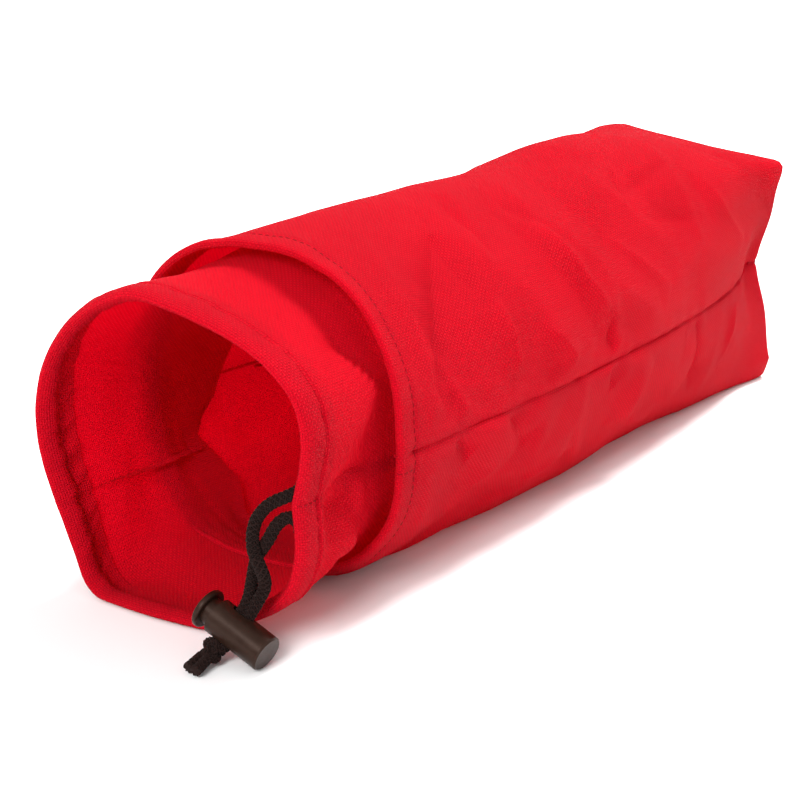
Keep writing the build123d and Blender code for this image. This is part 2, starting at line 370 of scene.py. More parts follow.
def plastic_material(name, colour, light):
    """Moulded black plastic with a fine grain, rubbed a little shiny."""
    n = Nodes(name)
    coords = n.coords()
    grain, cloud = n.noise(coords, 2600.0, 3.0, 0.6), n.noise(coords, 190.0, 4.0, 0.6)
    normal = n.bump(0.2, 0.00012, cloud, n.bump(0.35, 0.00004, grain))
    base = n.mix(n.math("MULTIPLY", n.ramp(cloud, 0.35, 0.7), 0.6), colour, light)
    return n.done(n.skin(base, n.ramp(cloud, 0.3, 0.7, 0.28, 0.42), Normal=normal, Specular_IOR_Level=0.19,
                         Specular_Tint=(1.0, 0.74, 0.64, 1.0)))


def steel_material(name):
    """Drawn spring wire."""
    n = Nodes(name)
    streak = n.noise(n.coords(), 1800.0, 4.0, 0.6)
    return n.done(n.skin(n.mix(streak, (0.32, 0.31, 0.30, 1), (0.62, 0.61, 0.60, 1)),
                         n.ramp(streak, 0.3, 0.7, 0.25, 0.42), Metallic=1.0,
                         Normal=n.bump(0.3, 0.00002, streak)))


def paper_material(name, colour, shade):
    """Matt paper for the floor."""
    n = Nodes(name)
    cloud = n.math("MULTIPLY", n.noise(n.coords(), 6.0, 2.0), 0.03)
    return n.done(n.skin(n.mix(cloud, colour, shade), 0.9, Specular_IOR_Level=0.0))


# the second and the fourth colours are painted shade for the weave's hollows
RED_CLOTH = cloth_material("red_oxford_cloth", (0.93, 0.0075, 0.032, 1), (0.48, 0.0014, 0.013, 1),
                           (0.985, 0.0008, 0.105, 1), (0.78, 0.00045, 0.082, 1), 0.58)
# the thread's reds are darker than the cloth's, as painted shade for the grooves the stitches sink into;
# the second colour is painted shade in the twist's grooves
SHADED_RED_THREAD = thread_material("red_thread", (0.36, 0.001, 0.012, 1), (0.17, 0.0004, 0.006, 1))
# the second colour is a painted brown highlight
BLACK_CORD = cord_material("black_braid", (0.006, 0.0022, 0.0016, 1), (0.024, 0.009, 0.007, 1))
LOCK_PLASTIC = plastic_material("black_plastic", (0.015, 0.0065, 0.0042, 1), (0.023, 0.0115, 0.0075, 1))
SPRING_STEEL = steel_material("spring_wire")


# ---- shell: the outer cloth ---------------------------------------------------------
# along the shell: distance behind the rim, half width right and left, top, height of the
# seams, and how far a round underside would reach below the floor that flattens it
SHELL = np.array([
    (50.0, 61.4, 62.0, 123.2, 57.0, -5.0),
    (62.0, 61.4, 61.4, 124.6, 56.5, 2.5),
    (85.0, 61.2, 60.8, 126.6, 55.8, 9.5),
    (110.0, 60.8, 60.2, 127.2, 55.2, 11.0),
    (160.0, 60.3, 59.5, 127.4, 54.6, 11.0),
    (212.0, 59.4, 58.8, 127.2, 54.5, 10.0),
    (232.0, 58.2, 58.0, 129.4, 54.5, 9.6),
    (250.0, 57.4, 57.5, 132.0, 54.6, 9.2),
    (280.0, 55.0, 55.5, 131.6, 54.6, 8.0),
    (320.0, 50.8, 52.0, 127.6, 54.8, 6.6),
    (350.0, 47.0, 49.0, 123.8, 56.5, 5.0),
    (384.0, 42.6, 44.5, 117.4, 60.0, 3.2),
    (400.0, 42.2, 43.5, 111.8, 61.0, 2.4),
])
COLS = 121
FLOOR_SOFT = 1.4            # how softly the underside flattens on the floor
FLOOR_SINK = 0.2            # taken off again below, so that the cloth lies on the floor


def outline(values, power):
    """The shell's cross-section as two runs of points: over the top, and under the floor side."""
    _, right, left, top, seam, sag = values
    turn = np.linspace(0, math.pi, 721)
    cos, sin = np.cos(turn), np.sin(turn)
    x = np.where(cos >= 0, right, left) * np.sign(cos) * np.abs(cos) ** (2 / power)
    rise = np.abs(sin) ** (2 / power)
    low = seam - (seam + sag) * rise
    low = 0.5 * (low + np.sqrt(low**2 + FLOOR_SOFT**2)) - FLOOR_SINK * (1 - low / seam)
    return np.stack([x, seam + (top - seam) * rise], axis=-1), np.stack([x, low], axis=-1)


def fitted_outline(values):
    """The outline whose girth is the cloth's."""
    low, high = 1.8, 16.0
    for _ in range(30):
        power = (low + high) / 2
        over, under = outline(values, power)
        if arc_length(over)[-1] + arc_length(under)[-1] < GIRTH:
            low = power
        else:
            high = power
    return over, under


def even(line, count):
    """Points of a line with equal lengths between them."""
    run = arc_length(line)
    return read_line(np.linspace(0, run[-1], count), run, line)


OUTLINES = [fitted_outline(values) for values in SHELL]
OVER, UNDER = (np.array([even(pair[i], COLS) for pair in OUTLINES]) for i in (0, 1))
OVER_RUN = np.mean([arc_length(over)[-1] for over, _ in OUTLINES])
UNDER_RUN = GIRTH - OVER_RUN


def shell_grid(s_rows, upper):
    """Points on the smooth shell at the given distances, from the right seam to the left."""
    flat = spline(SHELL[:, 0], OVER if upper else UNDER, np.array(s_rows))
    s = np.repeat(np.array(s_rows, float)[:, None], COLS, axis=1)
    grid = np.stack([flat[..., 0], s, flat[..., 1]], axis=-1)
    if upper:                       # the closed end's top leans up towards the left
        lean = smooth(s, 250, 395) * smooth(grid[..., 2], 70, 112)
        grid[..., 2] += lean * np.clip(-grid[..., 0], -44, 34) / 34 * 4.5
    return grid


# ---- folds in the cloth, as heights over (s, t), t from the right seam round the shell
UPPER_FOLDS = [
    # behind the collar the cloth swells, then drops into the first long crease
    (66, 6, 0.2), (67, 24, 0.4), (68, 42, 0.6), (66, 60, 0.2), (74, 14, 1.3), (75, 31, 1.9),
    (76, 48, 1.5), (80, 66, 0.8), (84, 84, 0.5), (90, 104, 0.4), (72, 92, 0.0), (70, 120, 0.3),
    (85, 7, -1.4), (85, 20, -2.3), (87, 36, -2.6), (99, 54, -2.5), (108, 64, -1.8), (120, 73, -0.9),
    (130, 88, -0.3), (94, 13, -1.6), (104, 24, -0.5), (116, 42, 0.0),
    # the second ridge, from the top down to the seam
    (156, 96, 0.8), (146, 78, 1.4), (135, 57, 2.3), (141, 47, 2.6), (149, 39, 2.8), (161, 22, 2.6),
    (172, 11, 1.6), (128, 30, 0.6), (136, 16, -0.2), (126, 8, -0.6), (150, 8, -0.9),
    # valley and third ridge
    (168, 92, -0.4), (164, 72, -0.7), (170, 56, -1.1), (178, 42, -1.3), (186, 27, -1.2), (194, 12, -0.8),
    (186, 86, 1.0), (184, 66, 1.9), (196, 51, 2.5), (204, 40, 2.7), (211, 31, 2.2), (218, 12, -1.2),
    (206, 20, 1.5), (228, 20, 1.6), (240, 14, 1.2), (252, 9, 0.4),
    # towards the closed end
    (206, 96, -0.6), (210, 76, -1.6), (216, 60, -2.0), (224, 46, -1.8), (234, 34, -1.4), (248, 24, -1.0),
    (232, 92, -1.6), (244, 104, 1.0), (240, 70, 0.9), (250, 56, 1.5), (262, 40, 1.2), (276, 26, 0.6),
    (290, 12, -0.6), (266, 80, -1.4), (263, 63, -0.6), (272, 53, -1.6), (284, 46, -1.0), (298, 58, 1.4),
    (304, 84, 1.2), (286, 96, -0.8), (300, 30, 0.9), (318, 42, -1.0), (312, 68, -0.9), (326, 90, 1.0),
    (322, 20, 1.2), (336, 56, 1.3), (346, 34, -0.8), (344, 78, -1.0), (352, 98, -0.4), (358, 18, 1.4),
    (364, 60, 0.6), (372, 40, -0.6), (378, 24, 1.0), (380, 84, -0.4),
    # the far side, over the top and down to the left seam
    (78, 140, 0.8), (92, 124, -1.0), (100, 152, -1.6), (88, 172, 0.6), (118, 136, 1.4), (126, 164, 0.8),
    (112, 182, -0.8), (140, 120, -0.6), (148, 148, -1.8), (156, 176, 1.0), (168, 128, 1.2),
    (176, 158, 1.6), (184, 182, -0.8), (198, 118, -1.0), (206, 142, -1.6), (214, 170, 0.9),
    (228, 126, 0.8), (240, 152, 1.5), (236, 182, -0.7), (258, 122, -1.2), (268, 144, -1.5),
    (274, 172, 0.8), (292, 120, 0.9), (300, 148, 1.4), (308, 178, -0.8), (324, 122, -0.9),
    (332, 150, -1.3), (340, 172, 0.7), (356, 128, 0.8), (364, 154, 1.0), (374, 174, -0.4),
]
LOWER_FOLDS = [
    # puckers under the seam and long slack folds down to the floor
    (68, 10, 0.6), (72, 28, 1.2), (76, 44, 0.4), (86, 4, -0.4), (88, 20, -1.6), (96, 9, -1.4),
    (101, 22, -2.6), (112, 34, -3.2), (132, 44, -2.4), (124, 28, -1.0), (106, 46, -2.6), (92, 40, -0.6),
    (120, 54, -1.0), (116, 6, 0.9), (123, 4, -0.6), (130, 12, 0.8), (142, 17, -1.2), (150, 8, 0.6),
    (148, 30, 1.2), (158, 44, 0.8), (166, 6, -0.6), (176, 18, 1.5), (186, 33, 1.8), (198, 47, 1.0),
    (178, 40, -1.2), (190, 12, -0.9), (194, 26, -0.8), (204, 4, 0.8), (214, 17, -1.2), (210, 34, -0.6),
    (226, 28, 1.3), (234, 8, 0.7), (240, 38, 0.9), (247, 20, -1.2), (258, 10, 0.7), (262, 34, -0.8),
    (272, 22, 1.2), (284, 8, -0.8), (281, 40, 0.8), (295, 15, 1.1), (300, 30, -1.2), (308, 5, -0.4),
    (315, 46, 0.6), (320, 20, 1.0), (332, 36, -0.9), (340, 12, -0.7), (350, 26, 0.9), (362, 42, -0.5),
    (368, 14, 0.8), (380, 30, -0.6),
    # the left side
    (80, 170, 1.0), (96, 158, -1.5), (108, 178, 0.6), (124, 164, 1.4), (140, 152, -1.2), (150, 176, -0.8),
    (168, 162, 1.3), (186, 150, -1.0), (198, 176, 0.7), (214, 162, -1.4), (236, 154, 1.1),
    (250, 174, -0.8), (268, 160, 1.2), (288, 152, -1.0), (300, 176, 0.6), (318, 160, -1.1),
    (338, 154, 0.8), (352, 174, -0.6), (370, 160, 0.7),
]

# creases on top of the folds: points (s, t), height, reach towards the mouth, reach towards the end
UPPER_CREASES = [
    (((147, 93), (140, 79), (141, 70), (140, 55)), -1.0, 4.0, 9.0),
    (((121, 74), (107, 58), (94, 39), (85, 28), (76, 20), (83, 8)), -1.7, 4.0, 12.0),
    (((121, 73), (118, 64), (118, 54), (123, 43)), -0.8, 3.0, 7.0),
    (((86, 32), (88, 18), (94, 5)), 1.3, 7.0, 4.0),
    (((127, 41), (128, 28), (131, 12)), 1.5, 10.0, 4.0),
    (((172, 78), (175, 72), (186, 60), (193, 52)), -1.0, 4.0, 8.0),
    (((180, 66), (186, 49), (191, 36), (202, 22)), 1.7, 10.0, 4.0),
    (((206, 19), (202, 11), (206, 5)), -1.5, 2.5, 5.0),
    (((258, 75), (254, 63), (253, 51)), -0.9, 3.0, 4.0),
    (((305, 71), (278, 66), (254, 62)), -0.8, 3.0, 4.0),
    (((222, 50), (232, 40), (244, 31), (262, 19)), 1.5, 9.0, 4.0),
    (((252, 51), (280, 45), (307, 42)), -0.7, 3.0, 5.0),
    (((150, 26), (162, 16), (170, 8)), 1.1, 3.0, 3.5),
    (((320, 60), (334, 40), (352, 22)), 0.9, 8.0, 4.0),
    (((340, 92), (352, 74), (362, 60)), -0.8, 4.0, 7.0),
    # the far side
    (((92, 176), (104, 158), (100, 140), (112, 122)), -1.3, 4.0, 9.0),
    (((132, 180), (140, 160), (156, 142), (160, 126)), 1.3, 8.0, 4.0),
    (((178, 182), (186, 164), (182, 144), (196, 128)), -1.2, 4.0, 8.0),
    (((220, 178), (232, 160), (240, 140), (236, 126)), 1.3, 9.0, 4.0),
    (((262, 182), (270, 160), (286, 140)), -1.1, 4.0, 8.0),
    (((306, 178), (318, 158), (330, 134)), 1.1, 8.0, 4.0),
    (((344, 176), (352, 158), (366, 142)), -0.9, 4.0, 6.0),
]
LOWER_CREASES = [
    (((124, 2), (131, 10), (140, 19)), -1.3, 3.0, 6.0),
    (((87, 2), (92, 6), (99, 13)), -1.4, 3.0, 3.5),
    (((203, 2), (205, 6), (208, 12)), -1.2, 3.0, 6.0),
    (((294, 2), (298, 18), (303, 40)), -1.0, 3.0, 4.0),
    (((240, 38), (252, 42), (266, 44)), 0.9, 4.0, 4.0),
    (((150, 38), (163, 33), (181, 30)), 1.1, 4.0, 6.0),
    (((100, 40), (108, 28), (122, 22)), 1.2, 8.0, 4.0),
    (((226, 34), (232, 20), (244, 8)), 1.1, 8.0, 4.0),
    (((330, 34), (342, 20), (350, 6)), 0.9, 6.0, 4.0),
    (((96, 184), (104, 170), (120, 156)), 1.3, 8.0, 4.0),
    (((150, 182), (158, 166), (172, 152)), -1.2, 4.0, 8.0),
    (((208, 184), (216, 168), (236, 154)), 1.2, 8.0, 4.0),
    (((270, 182), (282, 166), (300, 152)), -1.1, 4.0, 8.0),
    (((326, 184), (336, 168), (352, 154)), 1.0, 8.0, 4.0),
]


def crease_field(creases, s, t):
    """Heights of creases, each as steep towards the mouth and the closed end as its reaches say."""
    total = np.zeros(s.shape)
    for path, height, front, back in creases:
        nearest, shape = np.full(s.shape, 1e9), np.zeros(s.shape)
        for k, (a, b) in enumerate(zip(path[:-1], path[1:])):
            ds, dt = b[0] - a[0], b[1] - a[1]
            f = np.clip(((s - a[0]) * ds + (t - a[1]) * dt) / math.hypot(ds, dt)**2, 0, 1)
            off_s, off_t = s - a[0] - f * ds, t - a[1] - f * dt
            distance = np.hypot(off_s, off_t)
            beyond = (off_s * abs(dt) - off_t * ds * (1 if dt > 0 else -1)) > 0
            share = (k + f) / (len(path) - 1)
            ends = np.sqrt(4 * share * (1 - share) + 0.01)
            here = np.exp(-distance / np.where(beyond, back, front)) * ends
            shape = np.where(distance < nearest, here, shape)
            nearest = np.minimum(nearest, distance)
        total += height * shape
    return total


def border(points, s_range, t_range, step):
    """The points of a field of folds, with flat points round its edge."""
    edge = []
    for s in np.arange(s_range[0], s_range[1] + 1, step):
        edge += [(s, t_range[0], 0.0), (s, t_range[1], 0.0)]
    for t in np.arange(t_range[0] + step, t_range[1] - 1, step):
        edge += [(s_range[0], t, 0.0), (s_range[1], t, 0.0)]
    return points + edge


STEP = 1.6                  # distance between rows of the cloth
COLLAR = 50.0
COLLAR_STITCH = 59.0
NOSE = 1.5                  # radius of the collar's rolled edge
END_ROUND = 2.0             # radius of the closed end's edge
END_ROWS = 18


def shell_rows():
    """Row places from the collar's turned-in edge, round its roll, to the closed end: (s, inset)."""
    rows = [(60.5, 1.9), (58.0, 2.2), (55.0, 2.6), (53.0, 2.9)]
    for k in range(9):
        turn = math.pi * k / 8
        rows.append((COLLAR + NOSE - NOSE * math.sin(turn), NOSE + NOSE * math.cos(turn)))
    rows += [(s, 0.0) for s in np.arange(53.0, LENGTH - 2.4, STEP)]
    return rows


FRONT_ROWS = len(shell_rows())
ROLL_ROWS = 13              # of which this many are inside the collar and round its roll


def end_rows():
    """Row places round the edge of the closed end and over its wall: (s, inset, share)."""
    rows = []
    for k in range(1, 6):
        turn = math.pi / 2 * k / 5
        s = LENGTH - END_ROUND + END_ROUND * math.sin(turn)
        rows.append((s, END_ROUND * (1 - math.cos(turn)), 0.0))
    rows += [(LENGTH, END_ROUND, k / END_ROWS) for k in range(1, END_ROWS + 1)]
    rows += [(LENGTH, END_ROUND, 1.0)] * 2      # the end seam's edges, turned in
    return rows


FOLD_GAIN, CREASE_GAIN = 1.25, 2.3
PINCH = (386, 13)           # where the side seams are pinched behind, and how far along
PINCH_DEPTH = 4.0
RIDGE_AT = 110.0            # t of the ridge line along the top, which is drawn nearly straight
END_PULL = 13.0             # how far the closed end's corners of the seam are drawn forward
ALLOWANCE = (1.7, 4.4)      # the cloth beyond a side seam, in two steps


def turn_in(grid, t):
    """Adds the cloth beyond the side seams, turned towards the inside of the sack."""
    index = np.arange(len(grid))
    right = 1.4 + 2.0 * smooth(index, 60, 110)
    right[:ROLL_ROWS + 1] = 0.8
    right[FRONT_ROWS:] = 0.5
    left = np.minimum(right, 0.4 + 3.0 * smooth(index, 70, 130))
    sides = []
    for column, deep in ((0, right), (-1, left)):
        edge = grid[:, column]
        inward = np.zeros_like(edge)
        inward[:, 0] = -np.sign(edge[:, 0])
        for reach in (np.minimum(deep * 0.5, 0.7), deep):
            sides.append((edge + inward * reach[:, None])[:, None])
    near, far = ALLOWANCE
    grid = np.concatenate([sides[1], sides[0], grid, sides[2], sides[3]], axis=1)
    t = np.concatenate([t[:, :1] - far, t[:, :1] - near, t, t[:, -1:] + near, t[:, -1:] + far], axis=1)
    return grid, t


def panel_heights(upper, s, inset, t, run):
    """How far the folded cloth stands out of the smooth shell."""
    seam_near = np.minimum(t, run - t)
    folds, creases = (UPPER_FOLDS, UPPER_CREASES) if upper else (LOWER_FOLDS, LOWER_CREASES)
    places = s + 0 * t
    field = blur(facets(border(folds, (60.0, LENGTH), (0.0, run), 30.0), places, t), 2)
    field = field * FOLD_GAIN + CREASE_GAIN * crease_field(creases, places, t) * smooth(seam_near, 0, 4)
    field = field * smooth(s, 60, 72)
    if upper:
        field = field * (1 - 0.85 * bell(t, RIDGE_AT, 22.0))
    left_front = (t > run / 2) * (1 - smooth(s, 150, 190))
    puckers = wobble(s, 7.0, 5) * 0.5 * np.exp(-seam_near / 7.0) * smooth(s, 62, 75)
    puckers = puckers * (1 - left_front * bell(seam_near, 0, 6.0))
    valley = -1.5 * np.exp(-seam_near / 1.5) * smooth(s, 52, 60) * (1 - 0.8 * left_front)
    pinch = -PINCH_DEPTH * bell(s, *PINCH) * bell(seam_near, 0, 17)
    band = (0.35 * bell(s, 54.0, 3.0) - 0.7 * bell(s, COLLAR_STITCH, 0.9)) * (inset < 0.5)
    ripple = 0.5 * wobble(t, 8.5, 7) * bell(s, 57.0, 7.0) * smooth(seam_near, 0, 6)
    ear, ear_at = (6.0, 55.0) if upper else (2.6, 48.0)
    ears = ear * np.exp(-np.abs(seam_near - ear_at) / 7.0) * smooth(s, 374, 400)
    return field + puckers + valley + pinch + band + ripple + ears - inset


def close_end(grid, share):
    """Runs the closed end's wall in from the shell's edge to the end seam."""
    goal = np.stack([np.linspace(grid[FRONT_ROWS, 0, 0], grid[FRONT_ROWS, -1, 0], COLS),
                     np.full(COLS, LENGTH), np.full(COLS, SHELL[-1, 4])], axis=-1)
    goal[:, 1] -= END_PULL * np.linspace(-1, 1, COLS) ** 2 * 0.92 + 3.0
    edge = grid[FRONT_ROWS + 4].copy()
    for i in range(FRONT_ROWS + 5, len(grid)):
        k = share[i]
        grid[i] = edge * (1 - k) + goal * k
        grid[i, :, 1] += 1.6 * math.sin(math.pi * min(k * 1.1, 1)) - 1.2 * smooth(k, 0.9, 1.0)
        grid[i, :, 1] += 0.8 * wobble(grid[i, :, 0] + 30 * k, 14.0, 21) * math.sin(math.pi * k)
    grid[-2, :, 1] -= 1.6
    grid[-1, :, 1] -= 5.0


def build_panel(upper):
    """One half of the shell, with its half of the closed end."""
    rows = np.array([(*row, 0.0) for row in shell_rows()] + end_rows())
    s, inset, share = rows[:, :1], rows[:, 1:2], rows[:, 2]
    base = shell_grid(rows[:, 0], upper)
    run = OVER_RUN if upper else UNDER_RUN
    t = np.linspace(0, run, COLS)[None, :].repeat(len(rows), 0)
    seam_near = np.minimum(t, run - t)
    across = np.gradient(base[..., [0, 2]], axis=1)
    out = unit(np.stack([across[..., 1], -across[..., 0]], axis=-1) * (1 if upper else -1))
    out[..., 1] *= smooth(seam_near, 0, 6)      # level at the seams, so that both halves meet there
    out = unit(out)
    normal = np.stack([out[..., 0], np.zeros_like(t), out[..., 1]], axis=-1)
    grid = base + normal * panel_heights(upper, s, inset, t, run)[..., None]
    grid[..., 1] -= END_PULL * bell(seam_near, 0, 21.0) * smooth(s, 335, 400)
    close_end(grid, share)
    grid[..., 2] = np.maximum(grid[..., 2], 0.05)
    grid, t = turn_in(grid, t)
    along = arc_length(grid[:, COLS // 2])
    uv = np.stack([t * MM, (along[:, None] + 0 * t) * MM], axis=-1)
    return (grid, uv, rows[:, 0]) if upper else (grid[:, ::-1], uv[:, ::-1], rows[:, 0])


def declare(piece, body, node):
    """Hides the CAD node that a piece stands for and hangs the piece on its body, if it has one."""
    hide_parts(node)
    if body:
        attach(piece, body)
    return piece


upper_grid, upper_uv, shell_s = build_panel(True)
lower_grid, lower_uv, _ = build_panel(False)
upper_cloth = declare(cloth_solid("shell_upper_cloth", upper_grid, upper_uv), "shell",
                      "upper_panel")
lower_cloth = declare(cloth_solid("shell_lower_cloth", lower_grid, lower_uv), "shell",
                      "lower_panel")

# ---- sleeve: the inner tube that stands out of the collar ---------------------------
AXIS_Z = 57.0               # the sleeve is described by radii around this height
HEM_STITCH = 10.2           # the topstitch behind the rim
CORD_R = 2.5                # how deep the cord's middle lies under the hem's face
SLEEVE_END = 100.0
SEAM_RIGHT, SEAM_LEFT = -4.0, 205.0
# outer radius of the rim at each angle, counter-clockwise from the right
RIM = [(0, 57.4), (10, 60.6), (18, 63.2), (29, 65.0), (42, 62.4), (57, 58.6), (71, 56.2), (87, 56.4),
       (103, 59.2), (121, 60.0), (142, 61.0), (158, 61.6), (172, 61.4), (185, 60.4), (197, 59.2),
       (212, 59.4), (224, 62.2), (234, 66.2), (243, 65.4), (256, 60.0), (270, 57.6), (285, 59.0),
       (306, 60.2), (325, 63.4), (339, 61.0), (350, 57.8), (356, 56.6)]
# the sleeve's folds: distance behind the rim, angle, distance in from a smooth tube
SLEEVE_FOLDS = [
    # over the top, sinking under the collar
    (12, 90, 0.0), (22, 92, -0.8), (34, 88, -2.4), (44, 90, -4.6), (54, 90, -5.0), (68, 90, -3.0),
    (12, 62, 0.0), (20, 66, -0.6), (30, 62, -2.2), (38, 58, -6.0), (46, 60, -8.5), (55, 60, -8.0),
    (70, 60, -3.5), (12, 44, 0.0), (20, 44, -0.8), (28, 40, -2.6), (36, 42, -7.0), (43, 42, -10.5),
    (52, 44, -10.0), (70, 44, -4.0),
    # the lit facet that points at the collar
    (12, 26, 0.0), (22, 24, -1.2), (32, 26, -2.2), (40, 27, -3.0), (46, 25, -3.4), (53, 26, -7.5),
    (68, 26, -4.0), (12, 10, 0.0), (20, 10, -1.0), (27, 12, -1.6), (34, 15, -2.0), (36, 8, -5.5),
    (45, 10, -9.5), (56, 8, -9.5), (12, 0, 0.0), (17, 1, -1.0), (22, 3, -1.6), (26, -4, -6.5),
    (34, -3, -9.5), (45, -2, -10.5), (68, 4, -4.0),
    # the valley under it and the crisp fold on the far side
    (12, 348, 0.0), (17, 348, -5.0), (24, 346, -10.5), (34, 347, -11.0), (42, 348, -6.0),
    (47, 346, -10.0), (58, 348, -8.0), (12, 334, 0.0), (17, 334, -4.0), (24, 333, -6.0), (32, 333, -4.0),
    (37, 332, -2.0), (42, 333, -8.0), (54, 332, -8.0), (70, 340, -4.0), (12, 318, 0.0), (16, 318, -2.6),
    (21, 318, -4.0), (27, 318, -1.6), (33, 317, -6.0), (48, 316, -7.0), (12, 302, 0.0), (17, 302, -1.6),
    (23, 303, -0.6), (32, 302, -3.0), (48, 300, -3.6), (70, 310, -3.0),
    # the floor side, and the left
    (12, 280, 0.0), (30, 280, -0.6), (50, 280, -1.6), (70, 280, -1.6), (12, 255, 0.0), (34, 255, -1.0),
    (60, 255, -2.0), (12, 232, 0.0), (22, 230, -2.4), (36, 232, -1.0), (52, 232, -4.0), (72, 232, -2.0),
    (12, 210, 0.0), (20, 212, -0.6), (30, 208, -3.0), (44, 210, -1.6), (56, 208, -4.4), (74, 210, -2.0),
    (12, 190, 0.0), (24, 188, -1.8), (38, 190, -2.6), (52, 188, -4.6), (72, 190, -2.0), (12, 168, 0.0),
    (20, 166, -0.8), (30, 168, -2.8), (42, 166, -2.4), (54, 168, -5.0), (72, 168, -2.4), (12, 145, 0.0),
    (24, 146, -1.4), (38, 144, -3.0), (52, 146, -5.4), (72, 146, -2.4), (12, 118, 0.0), (26, 120, -1.0),
    (38, 116, -3.4), (50, 118, -5.4), (70, 118, -2.8),
]


def around(table, angle):
    """A smooth closed curve through (degrees, value) pairs."""
    angles = [a - 360 for a, _ in table] + [a for a, _ in table] + [a + 360 for a, _ in table]
    values = [v for _, v in table] * 3
    return spline(angles, values, np.mod(angle, 360.0))


CELL_S, CELL_TURN = 2.0, 2.0    # the cells in which the shell's folded inside is measured


def folded_radius():
    """The smallest radius of the folded shell round each place, on a grid of s and angles."""
    s_at, angles = np.arange(COLLAR, 112.0, CELL_S), np.arange(0.0, 360.0, CELL_TURN)
    rows = (shell_s >= 52) & (shell_s < 116) & (np.arange(len(shell_s)) >= ROLL_ROWS)
    points = np.concatenate([grid[rows][:, 3:-3].reshape(-1, 3) for grid in (upper_grid, lower_grid)])
    polar = np.degrees(np.arctan2(points[:, 2] - AXIS_Z, points[:, 0])) % 360
    radius = np.hypot(points[:, 0], points[:, 2] - AXIS_Z)
    table = np.full((len(s_at), len(angles)), 1e9)
    rows = np.floor((points[:, 1] - COLLAR) / CELL_S + 0.5).astype(int)
    columns = np.round(polar / CELL_TURN).astype(int)
    for ds in (-1, 0, 1):
        for da in (-1, 0, 1):
            fits = (rows + ds >= 0) & (rows + ds < len(s_at))
            np.minimum.at(table, (rows[fits] + ds, (columns[fits] + da) % len(angles)), radius[fits])
    table[0] = table[1]
    return np.append(angles, 360.0), np.concatenate([table, table[:, :1]], axis=1)


FOLDED_ANGLES, FOLDED = folded_radius()


def shell_radius(s, angle):
    """How far out the shell's outer face is, from the sleeve's axis, for one s and many angles."""
    row = np.clip((s - COLLAR) / CELL_S, 0, len(FOLDED) - 1.001)
    low = int(row)
    folded = FOLDED[low] * (1 - (row - low)) + FOLDED[low + 1] * (row - low)
    return np.interp(np.mod(angle, 360.0), FOLDED_ANGLES, folded)


def sleeve_rows():
    """From the hem's inner edge, round its roll, back along the outside to the sewn-in end."""
    rows = [(15.4, 1.3), (14.0, 1.15), (12.4, 1.1), (11.0, 1.05), (HEM_STITCH, 1.05), (9.2, 1.5),
            (8.0, 2.8), (6.8, 4.1), (5.4, 4.9), (4.0, 5.0), (2.8, 4.7), (1.7, 4.1), (0.8, 3.4),
            (0.25, 2.8), (0.05, 2.3), (0.15, 1.9), (0.5, 1.35), (1.1, 0.85), (1.9, 0.45), (2.9, 0.15)]
    rows += [(s, 0.0) for s in (4.0, 5.0, 6.2, 7.4, 8.6, 9.4, 10.0, 10.5, 11.1, 12.0)]
    rows += [(s, 0.0) for s in np.arange(13.2, SLEEVE_END + 0.1, 1.6)]
    return np.array(rows)


HEM_ROWS = 20               # of which this many are inside the hem and round its roll


def sleeve_fold_field(s, angle):
    """Heights of the sleeve's folds, whose table is repeated on both sides of one turn."""
    points = [(p[0], p[1] + turn, p[2]) for turn in (-360, 0, 360) for p in SLEEVE_FOLDS
              if -60 <= p[1] + turn <= 420]
    for a in range(-60, 421, 20):
        points += [(0.0, a, 0.0), (86.0, a, -0.6), (SLEEVE_END + 2, a, 0.0)]
    return facets(points, s, angle)


def left_flare(angle):
    """The stretch of the rim, on the left, that stands out further than the cloth behind it."""
    return np.exp(-np.abs((angle - 188.0) / 34.0) ** 3)


def floor_bell(angle):
    """How far the rim on the floor reaches forward."""
    return 2.6 * bell(angle, 262.0, 26.0)


def sleeve_radius(s, inset, angle):
    """Outer radius of the sleeve's cloth, before inset, on arrays of the same shape."""
    inside = np.array([shell_radius(row[0], a) for row, a in zip(s, angle)]) - CLOTH - 0.9
    rim = around(RIM, angle) - 4.2 * left_flare(angle) * smooth(s, 1, 14)
    radius = rim + (inside - rim) * smooth(s, 14, 72)
    radius = radius + blur(sleeve_fold_field(s, angle), 4) * smooth(s, 11.5, 15.0)
    proud = radius - inside + 0.4
    radius = radius - smooth(s, 18, 48) * 0.5 * (proud + np.sqrt(proud * proud + 2.0))
    arc = np.where(angle > SEAM_LEFT, angle - 360.0, angle) * ARC
    band = 0.25 * bell(s, 5.0, 3.2) - 1.25 * bell(s, HEM_STITCH, 0.7)
    band *= inset < 1.0
    gathers = 0.30 * wobble(arc, 5.2, 31) + 0.22 * wobble(arc + 0.8 * s, 2.6, 32)
    gathers *= bell(s, HEM_STITCH, 6.0) * np.where(inset > 1.0, 1.5, 1.0)
    gathers *= 1.15 + 0.9 * bell(np.mod(angle, 360.0), 190.0, 45.0)
    nicks = 0.22 * np.cos(arc * 2 * math.pi / 3.0) * bell(s, HEM_STITCH, 0.9) * (inset < 1.0)
    small = 0.35 * wobble(arc + 0.5 * s, 17.0, 33) * wobble(s, 9.0, 34) * smooth(s, 12, 22)
    # fine ribs where the lit facet points at the collar
    tip = bell(s, 43.0, 8.0) * bell(np.mod(angle + 90, 360) - 90, 31.0, 9.0)
    small += 0.55 * tip * np.sin(2 * math.pi * (arc - 0.35 * s) / 3.4)
    return radius + band + gathers + nicks + small


# where the sleeve's end lies inside the shell: angle, distance behind the rim
SLEEVE_CUT = [(0, 98), (60, 103), (120, 106), (169, 104), (189, 94), (201, 80), (212, 85), (223, 89),
              (236, 82), (262, 86), (300, 92), (340, 96), (360, 98)]
SLEEVE_COLS = 175
ARC = 1.02                  # millimetres of cloth round the sleeve for each degree
CUT_FROM = 70.0             # where the uneven end starts to draw the sleeve's rows back


